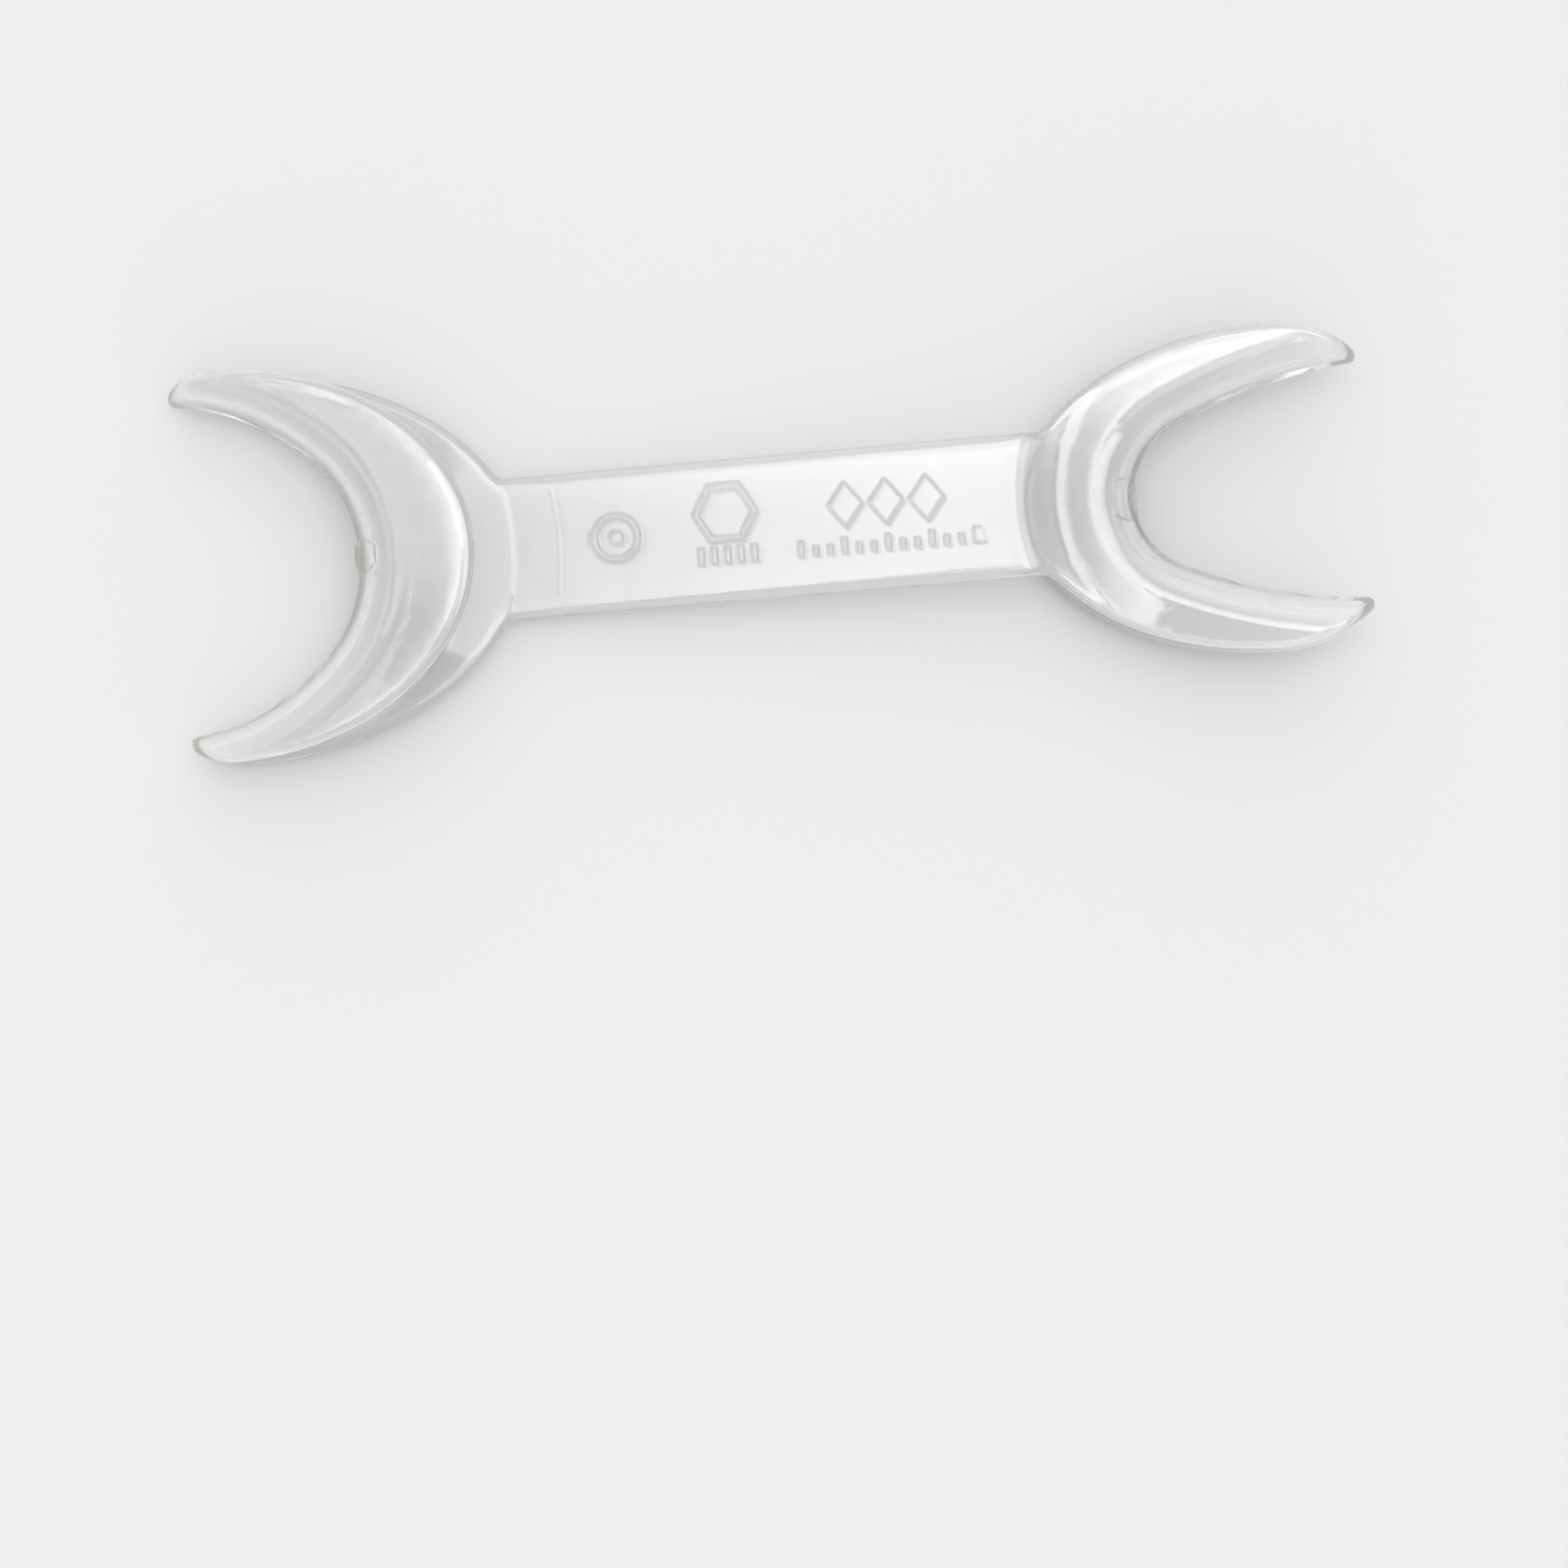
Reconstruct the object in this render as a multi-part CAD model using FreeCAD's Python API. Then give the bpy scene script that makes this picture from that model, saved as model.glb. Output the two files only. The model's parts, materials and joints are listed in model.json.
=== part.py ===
import FreeCAD, Part
import math
import os

from FreeCAD import Vector

# A double-ended cheek retractor, injection moulded in clear plastic, in millimetres.
#
# It is drawn in the handle's own frame: X runs along the handle towards the small end, Y across
# it, and Z out of the handle's marked face, with zero at the middle of the handle. Each end is a
# C-shaped trough that the lip sits in. The large one stands above the handle, the small one hangs
# below it. At the end the whole part is tipped into the pose in which it lies on a table.

HANDLE_WIDTH = 18.6
HANDLE_THICKNESS = 2.6
WALL = 2.0

# Where the curved web hands over to the two flanges, as an angle up the trough's round back.
WEB_HALF_ANGLE = 50.0

# Gate pads: the small discs left where the plastic was let into the mould.
GATE_RADIUS = 2.0
GATE_HEIGHT = 0.3

# Raised marks on the handle: plain shapes, all as high as each other.
MARK_HEIGHT = 0.35
MARK_LINE = 0.7
RING_PLACE = (-20.3, 0.2)
RING_RADIUS = 3.2
DOT_RADIUS = 0.9
HEXAGON_PLACE = (-5.8, 2.2)
HEXAGON_RADIUS = 4.3
BARS_PLACE = (-5.8, -4.4)
BAR_COUNT = 5
BAR_PITCH = 1.75
BAR_HEIGHT = 2.2
LOZENGES_PLACE = (15.2, 1.9)
LOZENGE_COUNT = 3
LOZENGE_WIDTH = 4.6
LOZENGE_HEIGHT = 6.0
SCALE_PLACE = (15.2, -4.4)
TICK_COUNT = 13
TICK_PITCH = 1.9
TICK_WIDTH = 0.6
LONG_TICK = 2.0
SHORT_TICK = 1.2

UP = Vector(0, 0, 1)
ACROSS = Vector(0, 1, 0)
ALONG = Vector(1, 0, 0)
ORIGIN = Vector(0, 0, 0)
FAR = 90.0
MESH_STEP = 0.02


class TroughEnd:
    """Driving sizes of one C-shaped end, with X pointing from the end towards the handle."""

    def __init__(self, **sizes):
        self.__dict__.update(sizes)

    def crown_centre(self):
        return Vector(self.mouth_x - self.crown_radius, 0, 0)

    def leg_centre(self):
        turn = math.radians(self.crown_half_angle)
        reach = self.crown_radius - self.leg_radius
        return self.crown_centre() + Vector(math.cos(turn), math.sin(turn), 0) * reach

    def tip_centre(self):
        """Middle of the arc that the outline follows round the upper tip."""
        return Vector(self.outline_x, self.half_width - self.tip_radius, 0)

    def nose_centre(self):
        """Middle of the small round that touches both the tip arc and the mouth's leg."""
        start = self.tip_centre()
        gap = self.leg_centre() - start
        near = self.tip_radius - self.nose_radius
        far = self.leg_radius + self.nose_radius
        along = (near ** 2 - far ** 2 + gap.Length ** 2) / (2 * gap.Length)
        aside = math.sqrt(near ** 2 - along ** 2)
        ahead = gap * (1 / gap.Length)
        left = Vector(ahead.y, -ahead.x, 0)
        return start + ahead * along + left * aside

    def cheek_middle(self):
        """Height of the cheek flange's middle above the middle of the handle."""
        return self.trough_z - self.back_radius + WALL / 2


LARGE = TroughEnd(
    mouth_x=-53.1,            # deepest point of the mouth opening
    crown_radius=18.0,        # the mouth opening's round bottom
    crown_half_angle=44.5,    # where the round bottom runs into the flatter legs
    leg_radius=30.5,
    back_radius=5.5,          # outside of the trough's round back
    trough_z=7.3,             # middle of the trough above the middle of the handle
    outline_x=-70.5,          # widest place of the outline
    half_width=25.4,
    lip_reach=33.2,           # from the widest place to the lip flange's front
    cheek_reach=37.5,         # the same for the cheek flange, which runs into the handle
    tip_radius=8.7,
    nose_radius=0.9,
    neck_x=-68.0,             # centre of the neck's bend, seen from above
    neck_start=26.0,          # radius where the cheek flange starts to bend
    neck_end=34.5,            # radius where the bend has become the handle
)

SMALL = TroughEnd(
    mouth_x=-46.8,
    crown_radius=9.9,
    crown_half_angle=64.6,
    leg_radius=66.5,
    back_radius=5.0,
    trough_z=6.2,
    outline_x=-65.1,
    half_width=21.1,
    lip_reach=34.0,
    cheek_reach=32.7,
    tip_radius=16.3,
    nose_radius=0.7,
    neck_x=-60.0,
    neck_start=22.0,
    neck_end=28.7,
)


def face_of(edges):
    """Flat face inside a closed ring of edges."""
    return Part.Face(Part.Wire(Part.__sortEdges__(edges)))


def arc(centre, radius, start, end):
    """Arc in the XY plane, with its angles in radians."""
    return Part.Arc(Part.Circle(centre, UP, radius), start, end).toShape()


def line(start, end):
    return Part.LineSegment(start, end).toShape()


def heading(start, end):
    """Direction from one point to another, as an angle from 0 to a full turn."""
    return math.atan2(end.y - start.y, end.x - start.x) % (2 * math.pi)


def mirrored(shape):
    return shape.mirror(ORIGIN, ACROSS)


def prism(face):
    """A plan outline carried through the whole height of the part."""
    low = face.copy()
    low.translate(UP * -FAR)
    return low.extrude(UP * (2 * FAR))


def front_arc(end, reach):
    """Half an ellipse, from the outline's widest place round the side towards the handle."""
    centre = Vector(end.outline_x, 0, 0)
    widest = centre + ACROSS * end.half_width
    ellipse = Part.Ellipse(centre + ALONG * reach, widest, centre)
    return Part.Arc(ellipse, -math.pi / 2, math.pi / 2).toShape()


def c_plan(end, reach):
    """Plan of one C: front ellipse, tip arcs, small noses, and the mouth's legs and crown."""
    turn = math.radians(end.crown_half_angle)
    tip, nose, leg_middle = end.tip_centre(), end.nose_centre(), end.leg_centre()
    tip_arc = arc(tip, end.tip_radius, math.pi / 2, heading(tip, nose))
    nose_arc = arc(nose, end.nose_radius, heading(tip, nose), heading(nose, leg_middle))
    leg = arc(leg_middle, end.leg_radius, turn, heading(leg_middle, nose))
    crown = arc(end.crown_centre(), end.crown_radius, -turn, turn)
    upper = [tip_arc, nose_arc, leg]
    lower = [mirrored(edge) for edge in upper]
    return prism(face_of([front_arc(end, reach), crown] + upper + lower))


def wall_section(end, centre, radius, low, high, flat_length):
    """Wall between two angles of the trough's back, with a flat run after the upper angle."""
    middle = centre + Vector(radius + end.back_radius, 0, end.trough_z)

    def at(angle, distance):
        turn = math.radians(angle)
        return middle + Vector(-distance * math.cos(turn), 0, distance * math.sin(turn))

    outer = end.back_radius
    inner = end.back_radius - WALL
    half = (low + high) / 2
    run = ALONG * flat_length
    edges = [
        Part.Arc(at(low, outer), at(half, outer), at(high, outer)).toShape(),
        Part.Arc(at(low, inner), at(half, inner), at(high, inner)).toShape(),
        line(at(low, outer), at(low, inner)),
        line(at(high, outer) + run, at(high, inner) + run),
    ]
    if flat_length:
        edges.append(line(at(high, outer), at(high, outer) + run))
        edges.append(line(at(high, inner), at(high, inner) + run))
    return face_of(edges)


def round_mouth(end, low, high, flat_length):
    """A wall section carried round the crown and along both legs."""
    turn = end.crown_half_angle
    crown = wall_section(end, end.crown_centre(), end.crown_radius, low, high, flat_length)
    crown.rotate(end.crown_centre(), UP, -turn)
    crown = crown.revolve(end.crown_centre(), UP, 2 * turn)
    leg = wall_section(end, end.leg_centre(), end.leg_radius, low, high, flat_length)
    leg.rotate(end.leg_centre(), UP, turn)
    leg = leg.revolve(end.leg_centre(), UP, 90.0 - turn)
    return crown.fuse([leg, mirrored(leg)]).removeSplitter()


def web(end):
    """Middle of the trough's round back."""
    wall = round_mouth(end, -WEB_HALF_ANGLE, WEB_HALF_ANGLE, 0.0)
    return wall.common(c_plan(end, end.lip_reach))


def gate_pad(end):
    """Low round pad on the web, on the side that faces the mouth."""
    start = Vector(end.mouth_x - GATE_HEIGHT, 0, end.trough_z)
    pad = Part.makeCylinder(GATE_RADIUS, WALL, start, ALONG)
    whole_back = round_mouth(end, -90.0, 90.0, 0.0)
    space_inside = Part.makeBox(FAR, FAR, FAR, Vector(end.mouth_x + WALL / 2, -FAR / 2, -FAR / 2))
    return pad.cut(whole_back).cut(space_inside)


def flange(end):
    """Upper part of the round back and the flat flange that it runs into."""
    return round_mouth(end, WEB_HALF_ANGLE, 90.0, FAR / 2)


def lip_flange(end):
    """Free flange in front of the lip."""
    return flange(end).common(c_plan(end, end.lip_reach))


def cheek_flange(end):
    """Flange behind the lip, up to the place where it starts to bend into the neck."""
    below = flange(end).mirror(UP * end.trough_z, UP)
    behind = Part.makeBox(FAR, 2 * FAR, 2 * FAR, Vector(end.neck_x - FAR, -FAR, -FAR))
    before_neck = behind.fuse(round_prism(end, end.neck_start))
    return below.common(c_plan(end, end.cheek_reach)).common(before_neck)


def round_prism(end, radius):
    """Upright cylinder about the centre of the neck's bend."""
    return Part.makeCylinder(radius, 2 * FAR, Vector(end.neck_x, 0, -FAR))


def neck_surface_line(end, flange_offset, handle_offset):
    """Smooth S from the cheek flange's level to the handle's, level at both ends."""
    high = end.cheek_middle() + flange_offset
    start = end.neck_x + end.neck_start
    stop = end.neck_x + end.neck_end
    third = (stop - start) / 3
    curve = Part.BezierCurve()
    curve.setPoles([
        Vector(start, 0, high),
        Vector(start + third, 0, high),
        Vector(stop - third, 0, handle_offset),
        Vector(stop, 0, handle_offset),
    ])
    return curve.toShape()


def neck(end):
    """Bend between the cheek flange and the handle, with the shoulders beside it."""
    top = neck_surface_line(end, WALL / 2, HANDLE_THICKNESS / 2)
    bottom = neck_surface_line(end, -WALL / 2, -HANDLE_THICKNESS / 2)
    sides = [line(top.Vertexes[i].Point, bottom.Vertexes[i].Point) for i in (0, 1)]
    section = face_of([top, bottom] + sides)
    centre = Vector(end.neck_x, 0, 0)
    section.rotate(centre, UP, -80)
    blank = section.revolve(centre, UP, 160)
    half = HANDLE_WIDTH / 2
    strap = Part.makeBox(-end.mouth_x, HANDLE_WIDTH, 2 * FAR, Vector(end.mouth_x, -half, -FAR))
    plan = c_plan(end, end.cheek_reach).fuse(strap)
    return blank.common(plan).removeSplitter()


def handle_bar():
    """Flat strap between the two bends."""
    low = Vector(LARGE.mouth_x, -HANDLE_WIDTH / 2, -HANDLE_THICKNESS / 2)
    length = -SMALL.mouth_x - LARGE.mouth_x
    strap = Part.makeBox(length, HANDLE_WIDTH, HANDLE_THICKNESS, low)
    small_side = facing_small_end(round_prism(SMALL, SMALL.neck_end))
    return strap.cut(round_prism(LARGE, LARGE.neck_end)).cut(small_side)


def facing_small_end(shape):
    """An end drawn at the left is turned half a turn about Y to become the right one."""
    turned = shape.copy()
    turned.rotate(ORIGIN, ACROSS, 180)
    return turned


def on_handle(face, place):
    """Raises a flat shape out of the handle's marked face, centred at a place on it."""
    raised = face.extrude(UP * MARK_HEIGHT)
    raised.translate(Vector(place[0], place[1], HANDLE_THICKNESS / 2))
    return raised


def disc(radius):
    return Part.Face(Part.Wire(Part.makeCircle(radius)))


def polygon(points):
    return Part.Face(Part.makePolygon([Vector(x, y, 0) for x, y in points + points[:1]]))


def hexagon(radius):
    turns = [math.radians(60 * k) for k in range(6)]
    return polygon([(radius * math.cos(t), radius * math.sin(t)) for t in turns])


def upright_bar(x, width, height):
    return polygon([(x - width / 2, 0), (x + width / 2, 0), (x + width / 2, height), (x - width / 2, height)])


def evenly(count, pitch):
    """Places of a row of like things, centred on zero."""
    return [(k - (count - 1) / 2) * pitch for k in range(count)]


def ring_mark():
    ring = disc(RING_RADIUS).cut(disc(RING_RADIUS - MARK_LINE))
    return on_handle(Part.makeCompound([ring, disc(DOT_RADIUS)]), RING_PLACE)


def hexagon_mark():
    return on_handle(hexagon(HEXAGON_RADIUS).cut(hexagon(HEXAGON_RADIUS - MARK_LINE)), HEXAGON_PLACE)


def bars_mark():
    bars = [upright_bar(x, MARK_LINE, BAR_HEIGHT) for x in evenly(BAR_COUNT, BAR_PITCH)]
    return on_handle(Part.makeCompound(bars), BARS_PLACE)


def lozenge(x):
    half_width, half_height = LOZENGE_WIDTH / 2, LOZENGE_HEIGHT / 2
    return polygon([(x - half_width, 0), (x, -half_height), (x + half_width, 0), (x, half_height)])


def lozenges_mark():
    pitch = LOZENGE_WIDTH + MARK_LINE
    lozenges = [lozenge(x) for x in evenly(LOZENGE_COUNT, pitch)]
    return on_handle(Part.makeCompound(lozenges), LOZENGES_PLACE)


def scale_mark():
    ticks = []
    for k, x in enumerate(evenly(TICK_COUNT, TICK_PITCH)):
        ticks.append(upright_bar(x, TICK_WIDTH, LONG_TICK if k % 3 == 0 else SHORT_TICK))
    return on_handle(Part.makeCompound(ticks), SCALE_PLACE)


def all_pieces():
    """Every section of the moulding, by name, still in the handle's frame."""
    pieces = {"handle_bar": handle_bar()}
    for make in (neck, cheek_flange, web, lip_flange, gate_pad):
        pieces["large_" + make.__name__] = make(LARGE)
        pieces["small_" + make.__name__] = facing_small_end(make(SMALL))
    for make in (ring_mark, hexagon_mark, bars_mark, lozenges_mark, scale_mark):
        pieces[make.__name__] = make()
    return pieces


def corner_points(shape):
    """Points of a fine mesh of a shape, for finding where it ends."""
    return shape.tessellate(MESH_STEP)[0]


def resting_tilt(pieces):
    """Angle at which the large end's tips and the small end's lip flange touch one table."""
    tips = corner_points(pieces["large_cheek_flange"])
    front = corner_points(pieces["small_lip_flange"])
    low, high = 0.0, 20.0
    while high - low > 0.0001:
        tilt = math.radians((low + high) / 2)

        def lowest(points):
            return min(p.x * math.sin(tilt) + p.z * math.cos(tilt) for p in points)

        if lowest(tips) > lowest(front):
            low = (low + high) / 2
        else:
            high = (low + high) / 2
    return low


def laid_on_table(pieces):
    """Tips every piece by the resting tilt and puts the origin under the middle of the part."""
    tilt = resting_tilt(pieces)
    for shape in pieces.values():
        shape.rotate(ORIGIN, ACROSS, -tilt)
    points = [p for shape in pieces.values() for p in corner_points(shape)]
    middle_x = (min(p.x for p in points) + max(p.x for p in points)) / 2
    shift = Vector(-middle_x, 0, -min(p.z for p in points))
    for shape in pieces.values():
        shape.translate(shift)
    print("tilt %.4f degrees, shift %.4f %.4f" % (tilt, shift.x, shift.z))
    print("size along %.2f" % (max(p.x for p in points) - min(p.x for p in points)))
    return pieces


os.makedirs("parts", exist_ok=True)
for name, shape in laid_on_table(all_pieces()).items():
    shape.exportStep("parts/%s.step" % name)
    print("%-20s valid %s solids %d volume %.1f" % (name, shape.isValid(), len(shape.Solids), shape.Volume))
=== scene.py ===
import json
import math
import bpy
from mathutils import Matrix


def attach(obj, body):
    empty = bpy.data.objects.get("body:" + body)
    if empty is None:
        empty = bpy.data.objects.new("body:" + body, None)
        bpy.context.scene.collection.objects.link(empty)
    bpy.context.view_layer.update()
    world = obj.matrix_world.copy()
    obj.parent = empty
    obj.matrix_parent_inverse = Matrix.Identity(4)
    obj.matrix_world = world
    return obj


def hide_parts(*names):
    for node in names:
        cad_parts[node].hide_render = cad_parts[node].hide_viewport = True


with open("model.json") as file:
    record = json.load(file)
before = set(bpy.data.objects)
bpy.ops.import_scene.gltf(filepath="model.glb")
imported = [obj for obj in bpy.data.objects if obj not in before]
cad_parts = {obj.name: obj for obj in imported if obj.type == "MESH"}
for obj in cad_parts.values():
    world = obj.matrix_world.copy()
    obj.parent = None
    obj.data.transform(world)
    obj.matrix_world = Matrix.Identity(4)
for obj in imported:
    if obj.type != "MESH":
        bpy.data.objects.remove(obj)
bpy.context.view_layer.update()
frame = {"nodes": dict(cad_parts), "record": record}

from types import SimpleNamespace

import bmesh
import bpy
import numpy as np
from mathutils import Matrix


# ---------------------------------------------------------------------------------------------
# How the moulding lies.
# The retractor is one injection moulding in clear polycarbonate, and it lies tipped on the table.
# It is worked out level, in millimetres, with X along the handle towards the small end and zero
# at the middle of the handle's thickness. The flat face under the handle says how it is tipped.
# ---------------------------------------------------------------------------------------------

HANDLE_HALF_WIDTH = 9.3
HANDLE_HALF_THICKNESS = 1.3
WALL_HALF_THICKNESS = 1.0
METRES = 0.001

underside = next(m for m in frame["record"]["mounts"] if m["name"] == "handle_underside")
face_point = np.array(underside["pos_m"])
face_out = np.array(underside["axis"])


def lay_down(points):
    """Tips level points by the angle of the handle's underside and moves them onto its place: the
    origin plus X times the handle's own direction, Y as it is, and Z times the way up from it."""
    along = np.array([-face_out[2], 0.0, face_out[0]])
    up = -face_out
    level = points * METRES
    origin = face_point + up * HANDLE_HALF_THICKNESS * METRES
    across = np.array([0.0, 1.0, 0.0])
    return origin + level[..., :1] * along + level[..., 1:2] * across + level[..., 2:] * up


# ---------------------------------------------------------------------------------------------
# The two troughs.
# Each end is a C-shaped trough for the lip: a round back along the mouth opening, a free lip
# flange on one side of it and a cheek flange on the other, which runs on into the handle.
# Both are part of the one moulding, and the small one is turned over against the large one.
# ---------------------------------------------------------------------------------------------

LARGE = SimpleNamespace(
    turned=1, mouth_x=-53.1, crown_radius=18.0, crown_turn=math.radians(44.5), leg_radius=30.5,
    back_radius=5.5, trough_z=7.3, outline_x=-70.5, half_width=25.4, lip_reach=33.2,
    cheek_reach=37.5, tip_radius=8.7, neck_x=-68.0, neck_start=26.0, neck_end=34.5,
    gate_radius=2.0, pin_radius=2.3,
    cheek_lean=math.radians(-4.0), lip_lean=math.radians(3.0),
    cheek_crown=0.0, lip_crown=math.radians(7.2))
SMALL = SimpleNamespace(
    turned=-1, mouth_x=-46.8, crown_radius=9.9, crown_turn=math.radians(64.6), leg_radius=66.5,
    back_radius=5.0, trough_z=6.2, outline_x=-65.1, half_width=21.1, lip_reach=34.0,
    cheek_reach=32.7, tip_radius=16.3, neck_x=-60.0, neck_start=22.0, neck_end=28.7,
    gate_radius=2.0, pin_radius=3.1,
    cheek_lean=math.radians(5.0), lip_lean=math.radians(5.0),
    cheek_crown=math.radians(2.0), lip_crown=0.0)
RIM = 1.0                 # how far the rounded rim stands out past the middle of the wall
TIP_STRETCH = 0.5         # the tips reach this much nearer to the outline than the sides do
CORNER_BLEND = 1.7        # how softly the cheek flange's outline runs into the handle's side
LONGEST_LEG = 60.0        # the end of a leg of the mouth's edge is looked for up to here
HALVINGS = 50             # how often that stretch is halved
MOST_TURN = 1.5           # the cheek flange's rim is only asked for up to this angle
FLATTEST_SINE = 0.05      # keeps the handle's side at a finite distance straight in front
STRAP_FADE = 6.0          # the flange's crown grows over this stretch beside the handle
CROWN_POWER = 5           # how late a crowned flange turns: the power of the share of its run
LEG_COLUMNS = 64
BACK_ROWS = 11            # close rows along the middle of the round back
FLANGE_ROWS = 17
BACK_SHARE = 0.19         # share of a row's run that the close rows take up
GATE_HEIGHT = 0.3         # the pad that the gate leaves on the mouth side of the back
GATE_SLOPE = 0.2
PIN_DEPTH = 0.15          # the shallow round mark opposite it, inside the trough
NECK_BEND = 0.17          # share of the neck's length over which each of its two bends runs
LEAN_EASE = 0.6           # a flange takes up its lean over this first stretch


def smooth_step(t):
    """Cubic ease from 0 to 1, level at both ends."""
    t = np.clip(t, 0.0, 1.0)
    return t * t * (3 - 2 * t)


def mouth_edge(end, s):
    """Point and outward direction at arc length s along the mouth: a crown arc about the centre
    line, then on each side a leg arc of another radius that starts in the crown arc's direction."""
    crown_length = end.crown_radius * end.crown_turn
    run = np.abs(s)
    on_leg = np.maximum(run - crown_length, 0.0)
    angle = np.minimum(run, crown_length) / end.crown_radius + on_leg / end.leg_radius
    shift = end.crown_radius - end.leg_radius
    crown_x = end.mouth_x - end.crown_radius
    legs = run > crown_length
    centre_x = crown_x + np.where(legs, shift * math.cos(end.crown_turn), 0.0)
    centre_y = np.where(legs, shift * math.sin(end.crown_turn), 0.0)
    radius = np.where(legs, end.leg_radius, end.crown_radius)
    side = np.where(s < 0, -1.0, 1.0)
    x = centre_x + radius * np.cos(angle)
    y = side * (centre_y + radius * np.sin(angle))
    point = np.stack([x, y], -1)
    outward = np.stack([np.cos(angle), side * np.sin(angle)], -1)
    return point, outward


def distance_to_ellipse(point, outward, centre_x, centre_y, half_x, half_y):
    """How far a ray from inside an upright ellipse runs before it leaves it: the larger root of
    the quadratic for where the scaled point plus the run times the scaled direction has length 1."""
    px = (point[..., 0] - centre_x) / half_x
    py = (np.abs(point[..., 1]) - centre_y) / half_y
    dx = outward[..., 0] / half_x
    dy = outward[..., 1] * np.where(point[..., 1] < 0, -1.0, 1.0) / half_y
    a = dx * dx + dy * dy
    b = px * dx + py * dy
    c = px * px + py * py - 1.0
    return (-b + np.sqrt(np.maximum(b * b - a * c, 0.0))) / a


def flange_depth(end, s, reach):
    """Distance from the mouth's edge to the flange's rim: to a front ellipse, and behind its
    middle to a smaller ellipse at each tip."""
    point, outward = mouth_edge(end, s)
    front = distance_to_ellipse(point, outward, end.outline_x, 0.0, reach - RIM, end.half_width - RIM)
    tip_y = end.half_width - end.tip_radius
    tip = distance_to_ellipse(point, outward, end.outline_x, tip_y,
                              end.tip_radius - TIP_STRETCH, end.tip_radius - RIM)
    at_front = point[..., 0] + front * outward[..., 0] >= end.outline_x
    return np.where(at_front, front, tip)


def leg_length(end):
    """Arc length of the mouth's edge at which the flange has shrunk to the wall's own middle,
    found by halving the stretch that it lies in."""
    low, high = end.crown_radius * end.crown_turn, LONGEST_LEG
    for _ in range(HALVINGS):
        middle = (low + high) / 2
        if flange_depth(end, np.array(middle), end.lip_reach) > WALL_HALF_THICKNESS:
            low = middle
        else:
            high = middle
    return low


def corner_turn(end):
    """Angle about the crown's centre of the corner between the cheek flange and the handle, where
    the flange's front ellipse is as far out as the handle's side."""
    strap = HANDLE_HALF_WIDTH - RIM
    crown_x = end.mouth_x - end.crown_radius
    share = strap / (end.half_width - RIM)
    x = end.outline_x + (end.cheek_reach - RIM) * math.sqrt(1 - share * share)
    return math.atan2(strap, x - crown_x)


def cheek_radius(end, turn):
    """Distance from the crown's centre to the cheek side's rim: a smooth maximum of the flange's
    ellipse and the handle's straight side, so that the corner between them is rounded."""
    turn = np.abs(turn)
    ellipse = end.crown_radius + flange_depth(end, turn * end.crown_radius, end.cheek_reach)
    strap = (HANDLE_HALF_WIDTH - RIM) / np.maximum(np.sin(turn), FLATTEST_SINE)
    overlap = np.maximum(CORNER_BLEND - np.abs(ellipse - strap), 0.0) / CORNER_BLEND
    return np.maximum(ellipse, strap) + overlap ** 2 * CORNER_BLEND / 4


def neck_share(end, x, y):
    """How far the wall has bent from the cheek flange (0) to the handle (1): a straight slope with
    an even bend at its start and at its end."""
    radius = np.hypot(x - end.neck_x, y)
    t = np.clip((radius - end.neck_start) / (end.neck_end - end.neck_start), 0.0, 1.0)
    first = np.minimum(t, NECK_BEND) ** 2 / 2
    last = np.minimum(1 - t, NECK_BEND) ** 2 / 2
    straight = np.clip(t - NECK_BEND, 0.0, 1 - 2 * NECK_BEND) * NECK_BEND
    bent = (first + straight + NECK_BEND ** 2 / 2 - last) / (NECK_BEND * (1 - NECK_BEND))
    return np.where(x > end.neck_x, bent, 0.0)


def lean_rise(lean, straight):
    """Rise of a leaning flange after this much of its run: the lean times the run, less half of
    the stretch over which it takes the lean up."""
    eased = np.clip(straight, 0.0, LEAN_EASE)
    return lean * (np.maximum(straight, 0.0) - eased + eased ** 2 / (2 * LEAN_EASE))


def cheek_level(end, x, y):
    """Height of the cheek flange's middle in front of the crown: that of a flat flange plus the
    rise of its lean at this distance from the crown's centre."""
    out = np.hypot(x - end.mouth_x + end.crown_radius, y) - end.crown_radius
    flat_level = end.trough_z - end.back_radius + WALL_HALF_THICKNESS
    return flat_level + lean_rise(end.cheek_lean, out - end.back_radius)


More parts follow.
